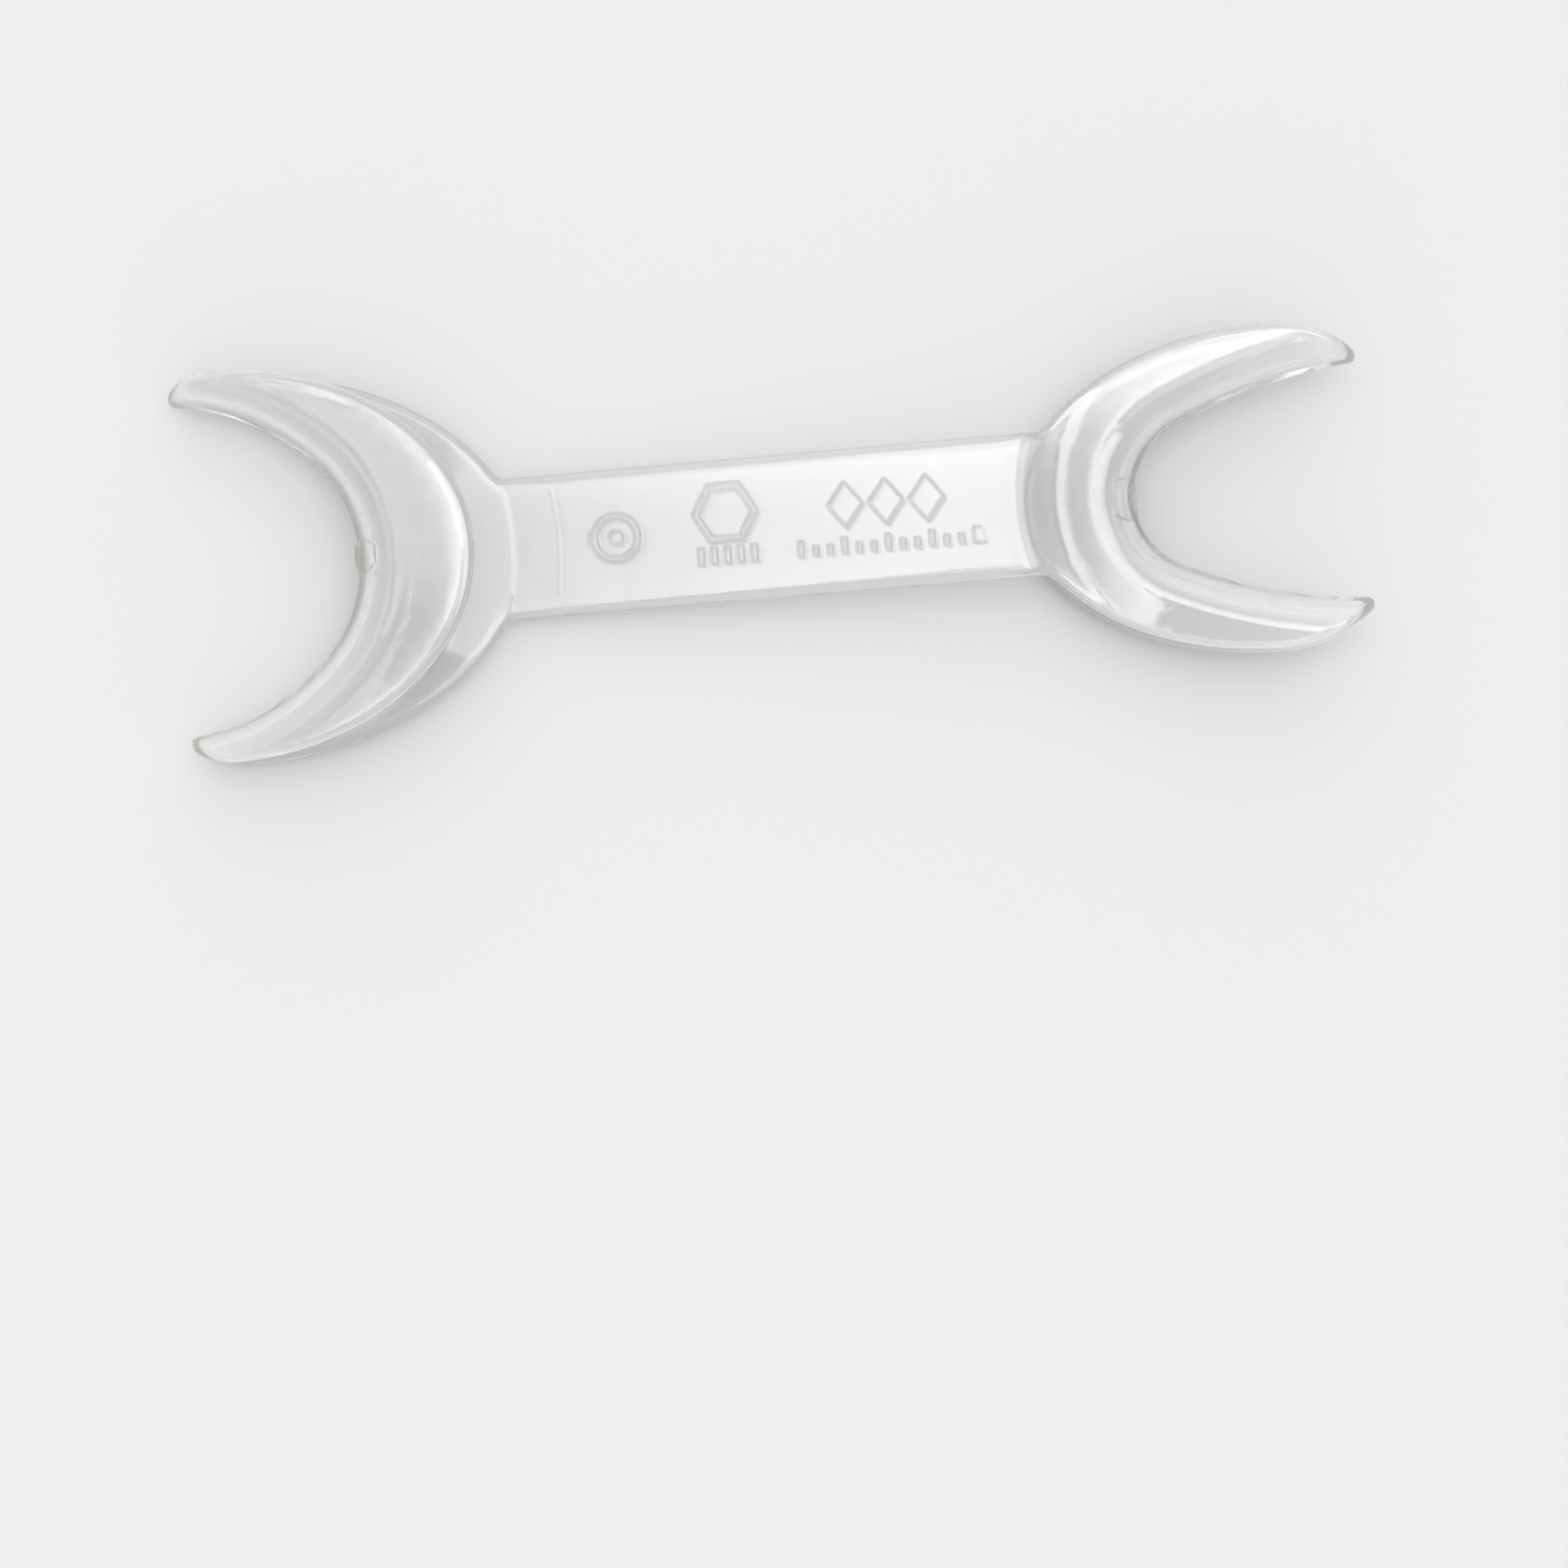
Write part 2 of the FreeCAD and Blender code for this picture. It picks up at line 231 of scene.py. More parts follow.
def half_section(end, depth, side, crowned):
    """One half of the trough's cross-section, from the middle of the back out to a rim.

    Along each column the row runs by arc length: first round the back, a circle of the back's
    radius less half a wall, then out along the flange, which leans by a steady angle. Where
    crowned is 1 it also turns towards its rim, by an angle that grows with a power of the share
    of its run. The lip side's back is narrower by the rise of the flange's lean, so that its rim
    ends at the full height. Returns the distance out from the mouth's edge, the height, and how
    much the outer normal leans out and up.
    """
    middle_radius = end.back_radius - WALL_HALF_THICKNESS
    near = np.minimum(depth, end.back_radius)
    full_turn = np.arccos(np.clip((end.back_radius - near) / middle_radius, -1.0, 1.0))
    flat = np.maximum(depth - end.back_radius, 0.0)
    rows = np.concatenate([np.linspace(0, BACK_SHARE, BACK_ROWS + 1),
                           np.linspace(BACK_SHARE, 1, FLANGE_ROWS + 1)[1:]])
    run = rows[:, None] * (middle_radius * full_turn + flat)
    turn = np.minimum(run / middle_radius, full_turn)
    straight = np.maximum(run - middle_radius * full_turn, 0.0)
    out = end.back_radius - middle_radius * np.cos(turn) + straight
    share = straight / np.maximum(flat, 1e-6)
    crown = end.lip_crown if side > 0 else end.cheek_crown
    slope = crown * share ** CROWN_POWER
    fall = crowned * slope * straight / (CROWN_POWER + 1)
    lean = end.cheek_lean if side < 0 else -end.lip_lean
    slope = slope + lean * np.minimum(straight / LEAN_EASE, 1.0)
    fall = fall + lean_rise(lean, straight)
    drawn_in = lean_rise(end.lip_lean, flat.max()) if side > 0 else 0.0
    height = end.trough_z + side * ((middle_radius - drawn_in) * np.sin(turn) - fall)
    return out, height, slope * crowned - np.cos(turn), side * np.sin(turn)


def trough(end, strap_shares):
    """Middle surface of one trough as a grid, lip rim first and cheek side last.

    strap_shares are the handle's columns as shares of its half width. Returns points, outer
    normals, half thicknesses and rim widths.
    """
    corner = corner_turn(end)
    middle = np.arcsin(strap_shares * math.sin(corner)) * end.crown_radius
    ease = np.sin(np.linspace(0, math.pi / 2, LEG_COLUMNS + 1)[1:])
    start = middle[-1]
    leg = start + (leg_length(end) - start) * ease
    s = np.concatenate([-leg[::-1], middle, leg])
    point, outward = mouth_edge(end, s)
    lip_depth = flange_depth(end, s, end.lip_reach)
    turn = s / end.crown_radius
    in_crown = np.abs(turn) < end.crown_turn
    crown_depth = cheek_radius(end, np.clip(turn, -MOST_TURN, MOST_TURN)) - end.crown_radius
    cheek_depth = np.where(in_crown, crown_depth, flange_depth(end, s, end.cheek_reach))
    rim_radius = cheek_radius(end, np.array(corner))
    in_strap = np.abs(s) <= start + 1e-9
    cheek_depth = np.where(in_strap, rim_radius - end.crown_radius, cheek_depth)
    cheek_depth[[0, -1]] = WALL_HALF_THICKNESS
    lip_depth[[0, -1]] = WALL_HALF_THICKNESS
    halves = []
    off_strap = smooth_step((np.abs(s) - start) / STRAP_FADE)
    for depth, side, crowned in ((lip_depth, 1.0, 1.0), (cheek_depth, -1.0, off_strap)):
        out, height, lean_out, lean_up = half_section(end, depth, side, crowned)
        x = point[:, 0] + out * outward[:, 0]
        y = point[:, 1] + out * outward[:, 1]
        normal = np.stack([lean_out * outward[:, 0], lean_out * outward[:, 1], lean_up], -1)
        bent = neck_share(end, x, y) if side < 0 else np.zeros_like(x)
        halves.append((x, y, height * (1 - bent), normal, bent))
    joined = [np.concatenate([lip[::-1], cheek[1:]]) for lip, cheek in zip(*halves)]
    x, y, z, normal, bent = joined
    points = np.stack([x, y, z], -1)
    thick = WALL_HALF_THICKNESS + (HANDLE_HALF_THICKNESS - WALL_HALF_THICKNESS) * bent
    return points, normal, thick, np.full_like(thick, RIM)


def gate_marks(end, points, outer):
    """A round mark on the back at the trough's axis, which is full inside its radius and eases
    out past it: on the mouth side a flat pad that stands proud, and inside a shallow step."""
    radius = end.gate_radius if outer else end.pin_radius
    from_axis = np.hypot(points[..., 1], points[..., 2] - end.trough_z)
    share = 1 - smooth_step((from_axis - radius) / GATE_SLOPE + 0.5)
    share = share * (np.abs(points[..., 0] - end.mouth_x) < end.back_radius)
    if outer:
        step = (end.mouth_x - GATE_HEIGHT - points[..., 0]) * share
    else:
        step = PIN_DEPTH * share
    points[..., 0] += step


def trough_skins(end):
    """Both faces of a trough: its middle moved half a wall each way, with the round marks."""
    block = trough(end, shares)
    points, normals, thick, _ = block
    offset = normals * thick[..., None]
    mouth_side, inside = points + offset, points - offset
    gate_marks(end, mouth_side, True)
    gate_marks(end, inside, False)
    return mouth_side, inside, block


# ---------------------------------------------------------------------------------------------
# The handle with its necks.
# A flat strap with softly rolled long edges. At each end it bends up or down by a few
# millimetres and widens into the cheek flange there.
# ---------------------------------------------------------------------------------------------

HANDLE_RIM = 1.6          # the handle's long edges are rolled wider than the troughs' rims
RIM_CHANGE = (28.0, 33.0) # distances from the middle over which one width becomes the other
CORNER_STEPS = 60
CORNER_STRETCH = 0.45     # the corner is read in to this share of its own angle
LARGE_END_ROWS = 2        # rows between the large end's corner and the first even row
SMALL_END_ROWS = 8
CLOSE_STEP = 0.2          # row spacing where the raised marks are
FINE_STEP = 0.14          # and where the fine lines of the mould are
WIDE_STEP = 0.7


def strap_rows():
    """Places along the handle: close together under the raised marks, wider between them. Each
    stop is a place and the spacing of the rows that lead up to it."""
    stops = [(-35.0, WIDE_STEP), (-34.1, FINE_STEP), (-29.4, WIDE_STEP), (-27.4, FINE_STEP),
             (-24.2, WIDE_STEP), (-16.6, CLOSE_STEP), (-10.8, WIDE_STEP),
             (-0.8, CLOSE_STEP), (2.6, WIDE_STEP), (27.8, CLOSE_STEP), (31.0, WIDE_STEP)]
    places = [np.array([stops[0][0]])]
    for (low, _), (high, step) in zip(stops[:-1], stops[1:]):
        places.append(np.linspace(low, high, round((high - low) / step) + 1)[1:])
    return np.concatenate(places)


def side_of_strap(end):
    """The strap's side from the corner towards the middle, read off the rounded corner."""
    turn = np.linspace(corner_turn(end), corner_turn(end) * CORNER_STRETCH, CORNER_STEPS)
    radius = cheek_radius(end, turn)
    crown_x = end.mouth_x - end.crown_radius
    return crown_x + radius * np.cos(turn), radius * np.sin(turn)


def strap(shares):
    """Middle surface of the handle and both necks, from the large end's corner to the small's.

    A row's Y is the shares of its half width, and its X blends from the arc that ends the large
    trough to the one that ends the small trough. Its height is each cheek flange's own, times
    what is left of it there as the neck bends to the handle's plane.
    """
    sides = [side_of_strap(end) for end in (LARGE, SMALL)]
    start, stop = sides[0][0][0], -sides[1][0][0]
    inner = strap_rows()
    before = np.linspace(start, inner[0], LARGE_END_ROWS + 1)[:-1]
    after = np.linspace(inner[-1], stop, SMALL_END_ROWS + 1)[1:]
    edge_x = np.concatenate([before, inner, after])
    half = np.where(edge_x < 0, np.interp(edge_x, *sides[0]), np.interp(-edge_x, *sides[1]))
    grow = smooth_step((np.abs(edge_x) - RIM_CHANGE[0]) / (RIM_CHANGE[1] - RIM_CHANGE[0]))
    rim = HANDLE_RIM + (RIM - HANDLE_RIM) * grow
    half = half + RIM - rim
    travel = (edge_x - start) / (stop - start)
    ends = []
    for end in (LARGE, SMALL):
        turn = np.arcsin(shares * math.sin(corner_turn(end)))
        radius = cheek_radius(end, np.array(corner_turn(end)))
        ends.append(end.turned * (end.mouth_x - end.crown_radius + radius * np.cos(turn)))
    x = ends[0] + (ends[1] - ends[0]) * travel[:, None]
    y = half[:, None] * shares
    large_bent, small_bent = neck_share(LARGE, x, y), neck_share(SMALL, -x, y)
    z = cheek_level(LARGE, x, y) * (1 - large_bent) - cheek_level(SMALL, -x, y) * (1 - small_bent)
    bent = np.minimum(large_bent, small_bent)
    thick = WALL_HALF_THICKNESS + (HANDLE_HALF_THICKNESS - WALL_HALF_THICKNESS) * bent
    normal = np.zeros(x.shape + (3,))
    normal[..., 2] = -1.0
    return np.stack([x, y, z], -1), normal, thick, np.broadcast_to(rim[:, None], x.shape)


# ---------------------------------------------------------------------------------------------
# Raised marks on the handle.
# Low plain shapes that the mould leaves standing on the marked face: a ring with a dot, a
# hexagon over a row of bars, and three lozenges over a scale of ticks. They carry no meaning.
# ---------------------------------------------------------------------------------------------

MARK_HEIGHT = 0.35
MARK_LINE = 0.7
MARK_SLOPE = 0.28
RING_AT = (-20.3, 0.2)
RING_RADIUS = 3.2
DOT_RADIUS = 0.9
HEXAGON_AT = (-5.8, 2.2)
HEXAGON_RADIUS = 4.3
BARS_AT = (-5.8, -3.3)
BAR_COUNT = 5
BAR_PITCH = 1.75
BAR_LENGTH = 2.2
LOZENGES_AT = (15.2, 1.9)
LOZENGE_COUNT = 3
LOZENGE_PITCH = 5.3
LOZENGE_SIZE = (4.6, 6.0)
SCALE_AT = (15.2, -4.4)   # the foot of the scale's middle tick
TICK_COUNT = 13
TICK_PITCH = 1.9
TICK_WIDTH = 0.6
LONG_TICK = 2.0           # every third tick is a long one
SHORT_TICK = 1.2
SEAM_HALF_WIDTH = 0.22
STRAIGHT_SEAM_X = -34.5
STRAIGHT_SEAM_HEIGHT = 0.03
ARC_SEAM_RADIUS = 40.1    # about the point that the large neck's bend is about
ARC_SEAM_HEIGHT = 0.05
SEAM_END_Y = 6.0


def line_profile(distance):
    """Height of a raised shape: full inside it, easing down to nothing just past its edge."""
    return MARK_HEIGHT * (1 - smooth_step(distance / MARK_SLOPE + 0.5))


def ring(x, y, centre, radius):
    """Signed distance to a flat ring: how far the radius is from the middle of its line."""
    middle = radius - MARK_LINE / 2
    return np.abs(np.hypot(x - centre[0], y - centre[1]) - middle) - MARK_LINE / 2


def disc(x, y, centre, radius):
    """Signed distance to a disc: the distance from its centre less its radius."""
    return np.hypot(x - centre[0], y - centre[1]) - radius


def hexagon(x, y, centre, radius):
    """Signed distance to a hexagonal ring: how far the distance from its centre, square to the
    nearest flat, is from the middle of its line."""
    u, v = np.abs(x - centre[0]), np.abs(y - centre[1])
    across = radius * math.cos(math.pi / 6)
    middle = across - MARK_LINE / 2
    from_middle = np.maximum(v, u * math.cos(math.pi / 6) + v * 0.5) - middle
    return np.abs(from_middle) - MARK_LINE / 2


def box(x, y, centre, width, height):
    """Signed distance to a box: the greater of how far a point is past each half size."""
    return np.maximum(np.abs(x - centre[0]) - width / 2, np.abs(y - centre[1]) - height / 2)


def lozenge(x, y, centre, width, height):
    """Signed distance to a lozenge, from the sum of the shares of its half sizes."""
    share = np.abs(x - centre[0]) * 2 / width + np.abs(y - centre[1]) * 2 / height
    return (share - 1) * width * height / (2 * math.hypot(width, height))


def evenly(count, pitch):
    """Places of a row of like things about its middle: their numbers less the mean, times a pitch."""
    return (np.arange(count) - (count - 1) / 2) * pitch


def raised_marks(x, y):
    """Height of every mark over the handle's face, from the nearest of their shapes."""
    near = [ring(x, y, RING_AT, RING_RADIUS), disc(x, y, RING_AT, DOT_RADIUS)]
    near.append(hexagon(x, y, HEXAGON_AT, HEXAGON_RADIUS))
    for offset in evenly(BAR_COUNT, BAR_PITCH):
        near.append(box(x, y, (BARS_AT[0] + offset, BARS_AT[1]), MARK_LINE, BAR_LENGTH))
    for offset in evenly(LOZENGE_COUNT, LOZENGE_PITCH):
        near.append(lozenge(x, y, (LOZENGES_AT[0] + offset, LOZENGES_AT[1]), *LOZENGE_SIZE))
    for number, offset in enumerate(evenly(TICK_COUNT, TICK_PITCH)):
        length = LONG_TICK if number % 3 == 0 else SHORT_TICK
        near.append(box(x, y, (SCALE_AT[0] + offset, SCALE_AT[1] + length / 2), TICK_WIDTH, length))
    return line_profile(np.minimum.reduce(near)) + mould_lines(x, y)


def seam(distance, height):
    """A hair-fine ridge: its height times the squared cosine of the share of its half width."""
    share = np.minimum(distance / SEAM_HALF_WIDTH, 1.0)
    return np.cos(share * math.pi / 2) ** 2 * height


def mould_lines(x, y):
    """Two fine ridges where inserts of the mould meet: one straight, one a long arc. Both fade out
    before they reach the handle's sides."""
    straight = seam(np.abs(x - STRAIGHT_SEAM_X), STRAIGHT_SEAM_HEIGHT)
    arc = seam(np.abs(np.hypot(x - LARGE.neck_x, y) - ARC_SEAM_RADIUS), ARC_SEAM_HEIGHT)
    return (straight + arc) * (1 - smooth_step(np.abs(y) - SEAM_END_Y))


# ---------------------------------------------------------------------------------------------
# The whole moulding in one skin.
# The middle surface is thickened to both sides, and a rounded rim closes it all the way round,
# so that light meets one unbroken body of plastic, as in the real part.
# ---------------------------------------------------------------------------------------------

RIM_STEPS = 10
TROUGH_SQUARE = 0.85      # a rim's section is a squared circle: 1 is round, and 0 would be a box
HANDLE_SQUARE = 0.6
MIDDLE_COLUMNS = 66
JOIN = 1e-6
FLIP = np.array([-1.0, 1.0, -1.0])

edge_shares = np.array([0.86, 0.93, 1.0])
middle_shares = np.linspace(-0.8, 0.8, MIDDLE_COLUMNS + 1)
shares = np.concatenate([-edge_shares[::-1], middle_shares, edge_shares])


def turned_over(block):
    """The small end is the same kind of trough turned half a turn about Y, its rows reversed, and
    its normals are taken through the wall, so that they agree with the handle's."""
    points, normals, thick, rim = block
    return points[::-1] * FLIP, -normals[::-1] * FLIP, thick[::-1], rim[::-1]


def handle_skins():
    """Both faces of the handle and necks: the middle surface moved half a thickness each way, with
    the marks raised on the upper face."""
    block = strap(shares)
    points, normals, thick, _ = block
    offset = normals * thick[..., None]
    under, over = points + offset, points - offset
    over[..., 2] += raised_marks(over[..., 0], over[..., 1])
    return under, over, block


large_outer, large_inner, large = trough_skins(LARGE)
small_outer, small_inner, small = trough_skins(SMALL)
small = turned_over(small)
small_outer, small_inner = small_outer[::-1] * FLIP, small_inner[::-1] * FLIP
handle_under, handle_over, handle = handle_skins()


def grid_faces(first, rows, columns, flipped):
    """Corner numbers of every square in a grid whose points start at first."""
    corner = first + np.arange(rows - 1)[:, None] * columns + np.arange(columns - 1)
    ring_of_four = [corner, corner + 1, corner + columns + 1, corner + columns]
    order = ring_of_four[::-1] if flipped else ring_of_four
    return np.stack(order, -1).reshape(-1, 4)


def rim_loop():
    """The middle surface's whole free edge in one round trip, with its normal and its sizes."""
    legs = LEG_COLUMNS
    last = len(shares) - 1 + 2 * legs
    way = [
        [part[0, :] for part in large],
        [part[-1, last:last - legs:-1] for part in large],
        [part[:, -1] for part in handle],
        [part[0, last - legs + 1:] for part in small],
        [part[-1, ::-1] for part in small],
        [part[0, :legs] for part in small],
        [part[::-1, 0] for part in handle],
        [part[-1, legs - 1::-1] for part in large],
    ]
    points, normals, thick, rim = (np.concatenate(parts) for parts in zip(*way))
    apart = np.linalg.norm(points - np.roll(points, 1, 0), axis=1) > 1e-7
    return points[apart], normals[apart], thick[apart], rim[apart]


def rim_strip():
    """The rim's surface, from one face out along the wall's own plane and back to the other face:
    the wall's half thickness times a power of the cosine, and the rim's width times the same
    power of the sine, of an angle that goes through half a turn."""
    points, normals, thick, rim = rim_loop()
    ahead = np.roll(points, -1, 0) - np.roll(points, 1, 0)
    outward = np.cross(ahead, normals)
    outward /= np.linalg.norm(outward, axis=1, keepdims=True)
    turn = np.linspace(0, math.pi, RIM_STEPS + 1)[:, None, None]
    to_handle = (rim[:, None] - RIM) / (HANDLE_RIM - RIM)
    square = TROUGH_SQUARE + (HANDLE_SQUARE - TROUGH_SQUARE) * to_handle
    across = np.sign(np.cos(turn)) * np.abs(np.cos(turn)) ** square
    outwards = np.sin(turn) ** square
    strip = points + normals * thick[:, None] * across + outward * rim[:, None] * outwards
    return np.concatenate([strip, strip[:, :1]], 1)


corners = []
faces = []


def add_grid(points, flipped):
    """Lays a grid of points down and adds it, with its squares, to those of the whole skin."""
    first = sum(len(block) for block in corners)
    corners.append(lay_down(points).reshape(-1, 3))
    faces.append(grid_faces(first, points.shape[0], points.shape[1], flipped))


for face in (large_outer, handle_under, small_inner):
    add_grid(face, False)
for face in (large_inner, handle_over, small_outer):
    add_grid(face, True)
add_grid(rim_strip(), True)

mesh = bpy.data.meshes.new("clear_moulding")
mesh.from_pydata(np.concatenate(corners), [], np.concatenate(faces).tolist())
work = bmesh.new()
work.from_mesh(mesh)
bmesh.ops.remove_doubles(work, verts=work.verts, dist=JOIN)
bmesh.ops.dissolve_degenerate(work, edges=work.edges, dist=JOIN)
bmesh.ops.recalc_face_normals(work, faces=work.faces)
work.to_mesh(mesh)
work.free()
mesh.polygons.foreach_set("use_smooth", np.ones(len(mesh.polygons), bool))
moulding = bpy.data.objects.new("clear_moulding", mesh)
bpy.context.scene.collection.objects.link(moulding)


# Clear polycarbonate: polished, slightly milky, with a very faint green tint in depth. Lamps and
# the light that the table scatters pass straight through it, dimmed at each face.
SATIN_ROUGHNESS = 0.045
POLISHED_ROUGHNESS = 0.025
SATIN_END = (0.031, 0.037)    # distances from the middle over which satin becomes polished
SMEAR_SIZE = 0.006
SMEAR_SPAN = (0.40, 0.75)     # noise between these values goes from no smear to a full one
SMEAR_ROUGHNESS = 0.025
WAVE_SIZE = 0.0035
WAVE_DEPTH = 0.00004

plastic = bpy.data.materials.new("clear_polycarbonate")
plastic.use_nodes = True
nodes, links = plastic.node_tree.nodes, plastic.node_tree.links
nodes.clear()
output = nodes.new("ShaderNodeOutputMaterial")
shader = nodes.new("ShaderNodeBsdfPrincipled")
shader.inputs["Base Color"].default_value = (1.0, 1.0, 1.0, 1)
shader.inputs["IOR"].default_value = 1.585
shader.inputs["Transmission Weight"].default_value = 0.85
place = nodes.new("ShaderNodeTexCoord").outputs["Object"]


def mottle(size, stretch, detail):
    """Soft noise over the piece with lumps of this size in metres, drawn out by the stretch."""
    mapping = nodes.new("ShaderNodeMapping")
    mapping.inputs["Scale"].default_value = [1 / (size * way) for way in stretch]
    links.new(place, mapping.inputs["Vector"])
    noise = nodes.new("ShaderNodeTexNoise")
    noise.inputs["Scale"].default_value = 1.0
    noise.inputs["Detail"].default_value = detail
    links.new(mapping.outputs["Vector"], noise.inputs["Vector"])
    return noise.outputs["Fac"]


def mapped(value, low, high, to_low, to_high):
    """Straight-line change of a value from one span to another, held at both ends."""
    node = nodes.new("ShaderNodeMapRange")
    links.new(value, node.inputs["Value"])
    for name, number in zip(("From Min", "From Max", "To Min", "To Max"), (low, high, to_low, to_high)):
        node.inputs[name].default_value = number
    return node.outputs["Result"]


# The handle is satin and the troughs are polished, and both are a little uneven from handling.
spread = nodes.new("ShaderNodeSeparateXYZ")
links.new(place, spread.inputs["Vector"])
from_middle = nodes.new("ShaderNodeMath")
from_middle.operation = "ABSOLUTE"
links.new(spread.outputs["X"], from_middle.inputs[0])
satin = mapped(from_middle.outputs["Value"], *SATIN_END, SATIN_ROUGHNESS, POLISHED_ROUGHNESS)
smears = mapped(mottle(SMEAR_SIZE, (2.5, 1.0, 1.0), 4.0), *SMEAR_SPAN, 0.0, SMEAR_ROUGHNESS)
rough = nodes.new("ShaderNodeMath")
rough.operation = "ADD"
links.new(satin, rough.inputs[0])
links.new(smears, rough.inputs[1])
links.new(rough.outputs["Value"], shader.inputs["Roughness"])
waves = nodes.new("ShaderNodeBump")
waves.inputs["Strength"].default_value = 1.0
waves.inputs["Distance"].default_value = WAVE_DEPTH
links.new(mottle(WAVE_SIZE, (1.6, 1.0, 1.0), 2.0), waves.inputs["Height"])
links.new(waves.outputs["Normal"], shader.inputs["Normal"])
clear = nodes.new("ShaderNodeBsdfTransparent")
clear.inputs["Color"].default_value = (0.71, 0.71, 0.71, 1)
path = nodes.new("ShaderNodeLightPath")
surface = shader.outputs["BSDF"]
for kind_of_ray in ("Is Diffuse Ray", "Is Shadow Ray"):
    mix = nodes.new("ShaderNodeMixShader")
    links.new(path.outputs[kind_of_ray], mix.inputs["Fac"])
    links.new(surface, mix.inputs[1])
    links.new(clear.outputs["BSDF"], mix.inputs[2])
    surface = mix.outputs["Shader"]
links.new(surface, output.inputs["Surface"])
depth = nodes.new("ShaderNodeVolumeAbsorption")
depth.inputs["Color"].default_value = (0.74, 0.90, 0.68, 1)
depth.inputs["Density"].default_value = 16.0
links.new(depth.outputs["Volume"], output.inputs["Volume"])
mesh.materials.append(plastic)

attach(moulding, "root")
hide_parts(*sorted(frame["nodes"]))


# ---------------------------------------------------------------------------------------------
# The table.
# A plain matt table top in off-white. The moulding lies on it by its own weight.
# ---------------------------------------------------------------------------------------------

TABLE_HALF = 3.0

table_corners = [(-TABLE_HALF, -TABLE_HALF, 0), (TABLE_HALF, -TABLE_HALF, 0),
                 (TABLE_HALF, TABLE_HALF, 0), (-TABLE_HALF, TABLE_HALF, 0)]
floor_mesh = bpy.data.meshes.new("table_top")
floor_mesh.from_pydata(table_corners, [], [(0, 1, 2, 3)])
floor = bpy.data.objects.new("table_top", floor_mesh)
bpy.context.scene.collection.objects.link(floor)
paper = bpy.data.materials.new("pale_table")
paper.use_nodes = True
paper.node_tree.nodes["Principled BSDF"].inputs["Base Color"].default_value = (0.82, 0.815, 0.80, 1)
paper.node_tree.nodes["Principled BSDF"].inputs["Roughness"].default_value = 0.9
floor_mesh.materials.append(paper)


# ---------------------------------------------------------------------------------------------
# The light tent.
# A soft even glow, dimmer low down at both sides and most at the small end's, with one large
# softbox overhead and a paler wall of light beyond the far side that comes round at the sides.
# Angles are in degrees from straight overhead, towards the small end and towards the far side.
# ---------------------------------------------------------------------------------------------

GLOW = 0.72
LOW_GLOW = 0.39
LOW_SIDES = (0.35, 0.98)      # how far towards the horizon the glow fades, as a share of X
DARK_SIDE = (0.60, 0.90)      # and where it fades further at the small end's side
DARK_SIDE_SHARE = 0.55
SOFTBOX = ((-23.5, -12.0), (21.0, 28.0), (2.4, 5.2), (16.0, 23.0))
SOFTBOX_STRENGTH = 3.35
BEND_RIGHT = (-7.0, 0.75)     # right of this angle both near edges slant nearer, by this a degree
BEND_LEFT = (-11.0, 2.5)      # and left of this angle too
WALL = ((-45.0, -30.0), (35.0, 50.0), (45.0, 55.0), (74.0, 84.0))
WALL_STRENGTH = 0.8
HORIZON = 0.001

world = bpy.data.worlds.new("light_tent")
world.use_nodes = True
bpy.context.scene.world = world
tent, wires = world.node_tree.nodes, world.node_tree.links
direction = tent.new("ShaderNodeTexCoord").outputs["Generated"]
parts_of_direction = tent.new("ShaderNodeSeparateXYZ")
wires.new(direction, parts_of_direction.inputs["Vector"])


def reckon(operation, *values):
    """One sum on sockets or plain numbers."""
    node = tent.new("ShaderNodeMath")
    node.operation = operation
    for socket, value in zip(node.inputs, values):
        if isinstance(value, (int, float)):
            socket.default_value = value
        else:
            wires.new(value, socket)
    return node.outputs["Value"]


def ramp(value, start, stop, low=0.0, high=1.0):
    """Smooth change from low to high while value goes from start to stop."""
    node = tent.new("ShaderNodeMapRange")
    node.interpolation_type = "SMOOTHSTEP"
    wires.new(value, node.inputs["Value"])
    for name, number in zip(("From Min", "From Max", "To Min", "To Max"), (start, stop, low, high)):
        node.inputs[name].default_value = number
    return node.outputs["Result"]


def patch(left, right, near, far):
    """Share of a panel of light: the product of four soft sides, each between two angles."""
    share = ramp(lean_x, *left)
    share = reckon("MULTIPLY", share, ramp(lean_x, *right, 1.0, 0.0))
    share = reckon("MULTIPLY", share, ramp(reckon("ADD", lean_y, near_side), *near))
    return reckon("MULTIPLY", share, ramp(lean_y, *far, 1.0, 0.0))


sky_x, sky_y, sky_z = (parts_of_direction.outputs[axis] for axis in "XYZ")
height = reckon("MAXIMUM", sky_z, HORIZON)
lean_x = reckon("MULTIPLY", reckon("ARCTAN2", sky_x, height), 180 / math.pi)
lean_y = reckon("MULTIPLY", reckon("ARCTAN2", sky_y, height), 180 / math.pi)

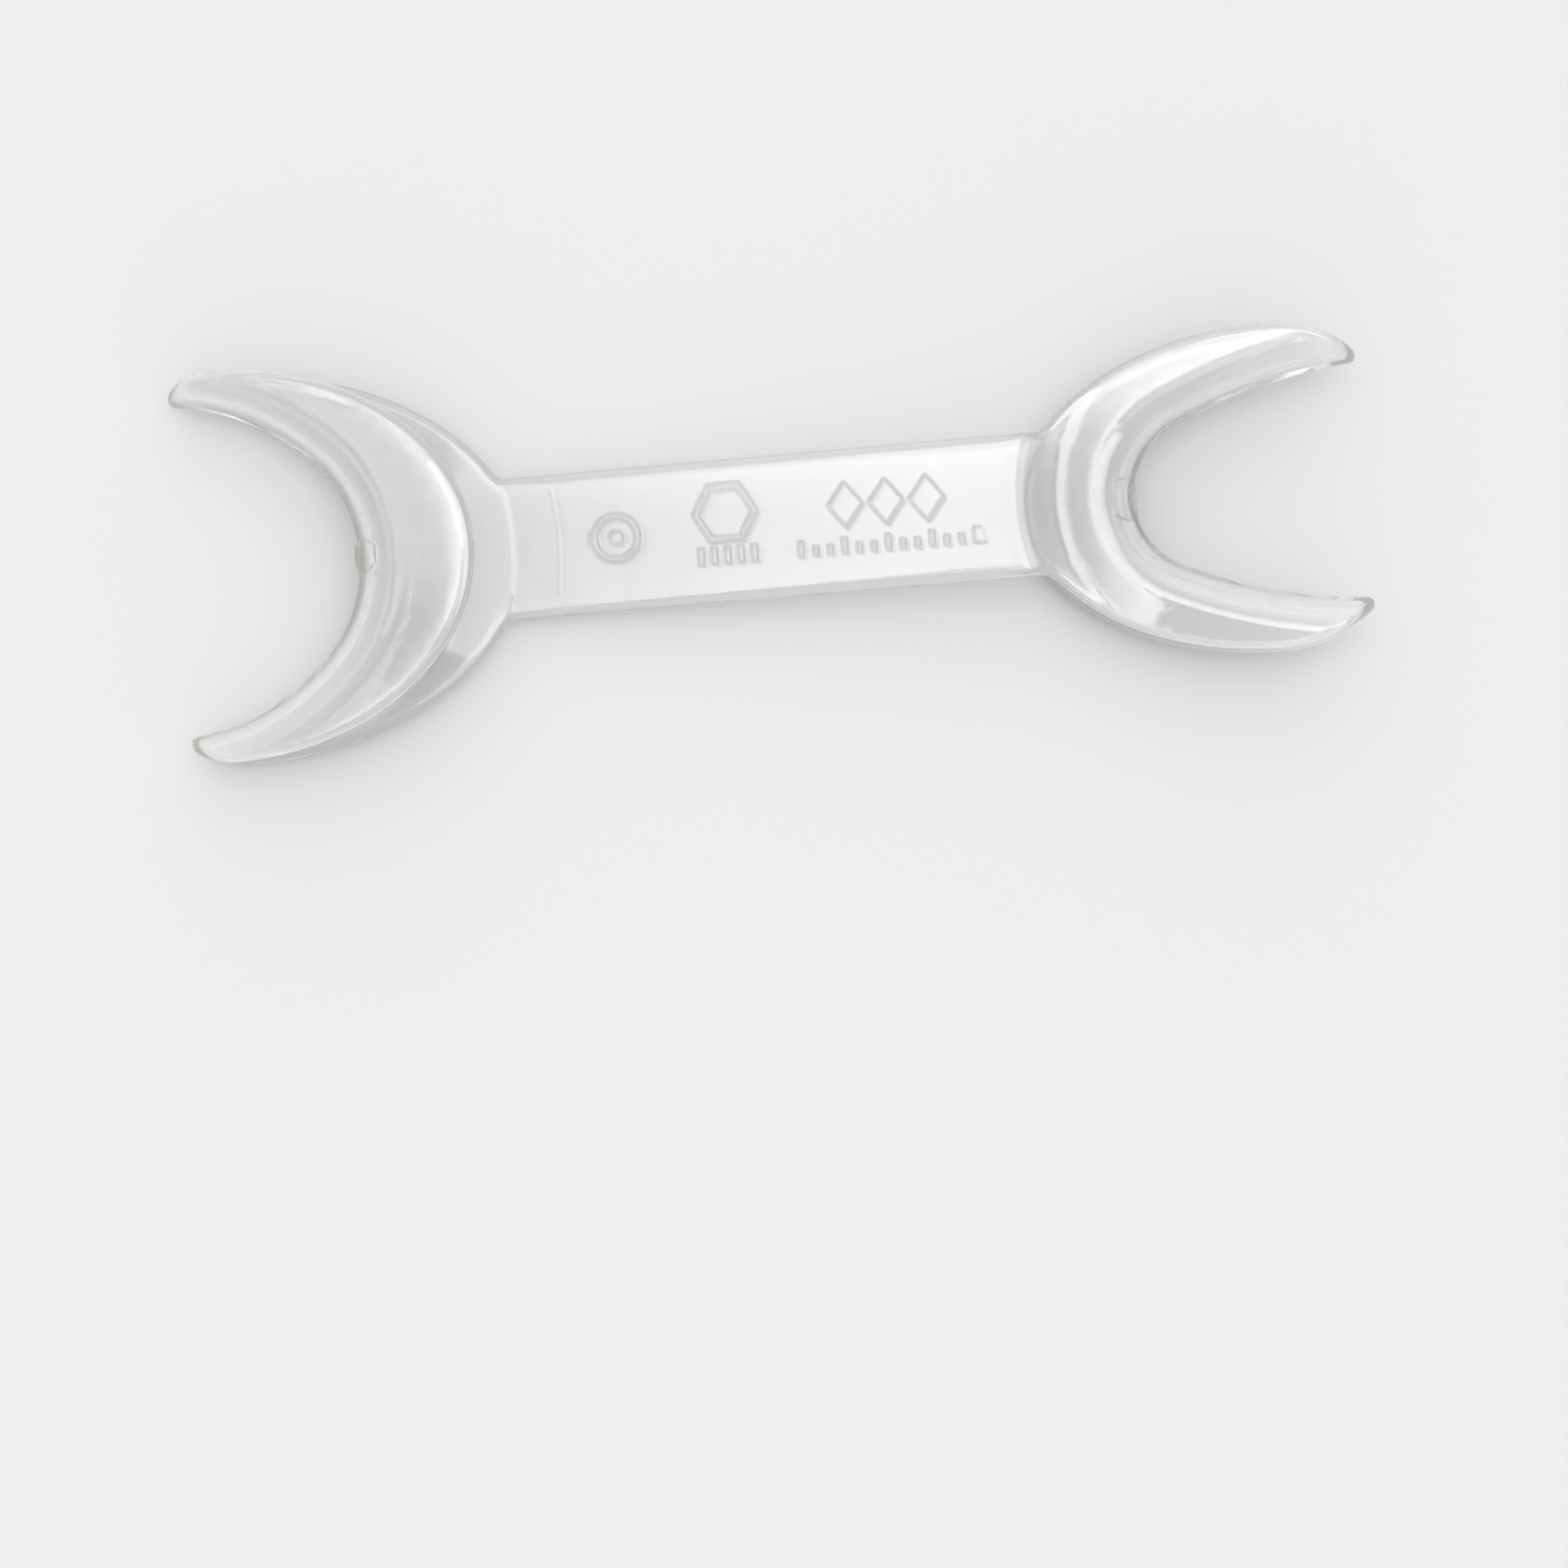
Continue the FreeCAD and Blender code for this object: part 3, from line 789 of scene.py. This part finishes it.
glow = ramp(reckon("ABSOLUTE", sky_x), *LOW_SIDES, GLOW, LOW_GLOW)
glow = reckon("MULTIPLY", glow, ramp(sky_x, *DARK_SIDE, 1.0, DARK_SIDE_SHARE))
past_right = reckon("MAXIMUM", reckon("SUBTRACT", lean_x, BEND_RIGHT[0]), 0.0)
past_left = reckon("MAXIMUM", reckon("SUBTRACT", BEND_LEFT[0], lean_x), 0.0)
near_side = reckon("ADD", reckon("MULTIPLY", past_right, BEND_RIGHT[1]),
                   reckon("MULTIPLY", past_left, BEND_LEFT[1]))
softbox = patch(*SOFTBOX)
wall = patch(*WALL)
light = reckon("ADD", glow, reckon("MULTIPLY", softbox, SOFTBOX_STRENGTH))
light = reckon("ADD", light, reckon("MULTIPLY", wall, WALL_STRENGTH))
background = tent["Background"]
wires.new(light, background.inputs["Strength"])
tinge = tent.new("ShaderNodeMix")
tinge.data_type = "RGBA"
wires.new(softbox, tinge.inputs["Factor"])
tinge.inputs[6].default_value = (0.985, 1.0, 0.99, 1)     # the glow, a little green
tinge.inputs[7].default_value = (1.0, 0.93, 0.995, 1)     # the softbox, a little pink
wires.new(tinge.outputs[2], background.inputs["Color"])
bpy.context.scene.view_settings.view_transform = "Standard"
bpy.context.scene.cycles.max_bounces = 32
bpy.context.scene.cycles.transmission_bounces = 32
bpy.context.scene.cycles.glossy_bounces = 16
bpy.context.scene.cycles.transparent_max_bounces = 32


# ---------------------------------------------------------------------------------------------
# The camera.
# It hangs over the table on the near side of the handle, turned a little, and looks almost
# straight down. Its places are worked out from the handle's underside.
# ---------------------------------------------------------------------------------------------

FIELD_WIDTH = 0.2036
CAMERA_HEIGHT = 0.640
TURN = math.radians(4.32)
TO_THE_RIGHT = 0.0014
CAMERA_NEARER = 0.0606        # how much nearer than the handle's middle the camera hangs
AIM_NEARER = 0.0334           # and the point that it looks at
SENSOR_WIDTH = 36.0

right = np.array([math.cos(TURN), -math.sin(TURN), 0.0])
up = np.array([math.sin(TURN), math.cos(TURN), 0.0])
aim = face_point + right * TO_THE_RIGHT - up * AIM_NEARER
eye = face_point + right * TO_THE_RIGHT - up * CAMERA_NEARER + np.array([0, 0, CAMERA_HEIGHT])
distance = np.linalg.norm(eye - aim)
back = (eye - aim) / distance
over_top = np.cross(back, right)
camera_data = bpy.data.cameras.new("camera")
camera_data.sensor_width = SENSOR_WIDTH
camera_data.lens = SENSOR_WIDTH * distance / FIELD_WIDTH
camera = bpy.data.objects.new("camera", camera_data)
facing = Matrix((right, over_top, back)).transposed().to_4x4()
camera.matrix_world = Matrix.Translation(eye) @ facing
bpy.context.scene.collection.objects.link(camera)
bpy.context.scene.camera = camera
